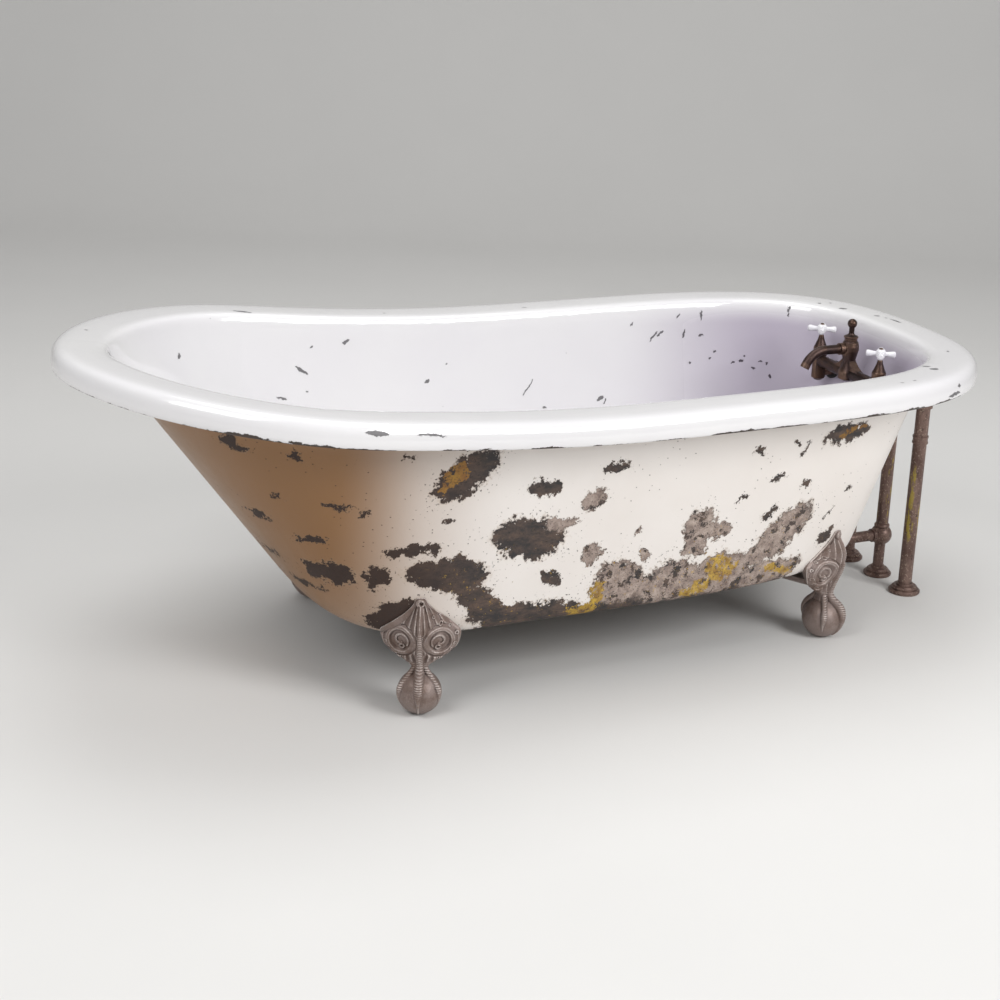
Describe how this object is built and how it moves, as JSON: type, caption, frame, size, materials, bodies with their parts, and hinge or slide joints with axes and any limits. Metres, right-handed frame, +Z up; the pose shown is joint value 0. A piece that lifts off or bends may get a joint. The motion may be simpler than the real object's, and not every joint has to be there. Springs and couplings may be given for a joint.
{
  "type": "clawfoot bathtub",
  "caption": "Cast-iron clawfoot bathtub with a raised head end, ball-and-claw feet, cross-handle tap, supply pipes, and waste with overflow.",
  "frame": {"origin": "on the floor, under the middle of the rim's length and width", "axes": "+X towards the tap end, +Y towards the far side, where the hot valve is, +Z up"},
  "size_m": [1.6991, 0.826, 0.5979],
  "materials": {
    "enamelled_iron": "white enamel inside, chipped cream paint outside",
    "foot_iron": "brown patinated casting",
    "steel": "dull and lightly rusted",
    "dark_brass": "dark aged brass",
    "aged_brass_pipe": "aged brass pipe with traces of old paint",
    "porcelain": "glossy white porcelain",
    "rubber": "matt black rubber"
  },
  "bodies": {
    "tub": {"tub_shell": "enamelled_iron", "foot_head_near": "foot_iron", "foot_head_far": "foot_iron", "foot_tap_near": "foot_iron", "foot_tap_far": "foot_iron", "foot_bolts": "steel", "foot_washers": "steel", "tap_body": "dark_brass", "tap_spout": "dark_brass", "finial_cap": "dark_brass", "cold_bonnet": "dark_brass", "cold_packing": "rubber", "cold_supply_elbow": "aged_brass_pipe", "cold_supply_pipe": "aged_brass_pipe", "cold_pipe_coupling": "aged_brass_pipe", "cold_floor_flange": "aged_brass_pipe", "hot_bonnet": "dark_brass", "hot_packing": "rubber", "hot_supply_elbow": "aged_brass_pipe", "hot_supply_pipe": "aged_brass_pipe", "hot_pipe_coupling": "aged_brass_pipe", "hot_floor_flange": "aged_brass_pipe", "tap_inner_washers": "rubber", "tap_outer_washers": "dark_brass", "tap_lock_nuts": "dark_brass", "supply_union_nuts": "dark_brass", "drain_strainer": "dark_brass", "drain_gasket": "rubber", "drain_shoe": "aged_brass_pipe", "waste_slip_nut": "aged_brass_pipe", "waste_tube": "aged_brass_pipe", "waste_ring_nut": "aged_brass_pipe", "ball_tee": "aged_brass_pipe", "tee_collar": "aged_brass_pipe", "standpipe": "aged_brass_pipe", "waste_neck": "aged_brass_pipe", "waste_floor_flange": "aged_brass_pipe", "overflow_plate": "dark_brass", "overflow_gasket": "rubber", "overflow_elbow": "aged_brass_pipe", "overflow_screw": "dark_brass"},
    "cold_handle": {"cold_cross_handle": "porcelain", "cold_spindle": "dark_brass", "cold_handle_screw": "dark_brass", "cold_jumper": "dark_brass", "cold_jumper_washer": "rubber"},
    "hot_handle": {"hot_cross_handle": "porcelain", "hot_spindle": "dark_brass", "hot_handle_screw": "dark_brass", "hot_jumper": "dark_brass", "hot_jumper_washer": "rubber"},
    "plug": {"drain_plug": "rubber"}
  },
  "joints": [
    {"name": "cold_handle_turn", "type": "hinge", "parent": "tub", "child": "cold_handle", "pos_m": [0.682, -0.1, 0.498], "axis": [0, 0, 1], "range_deg": [0, 540]},
    {"name": "hot_handle_turn", "type": "hinge", "parent": "tub", "child": "hot_handle", "pos_m": [0.682, 0.1, 0.498], "axis": [0, 0, 1], "range_deg": [0, 540]},
    {"name": "plug_lift", "type": "slide", "parent": "tub", "child": "plug", "axis": [0, 0, 1], "range_m": [0, 0.06]}
  ]
}
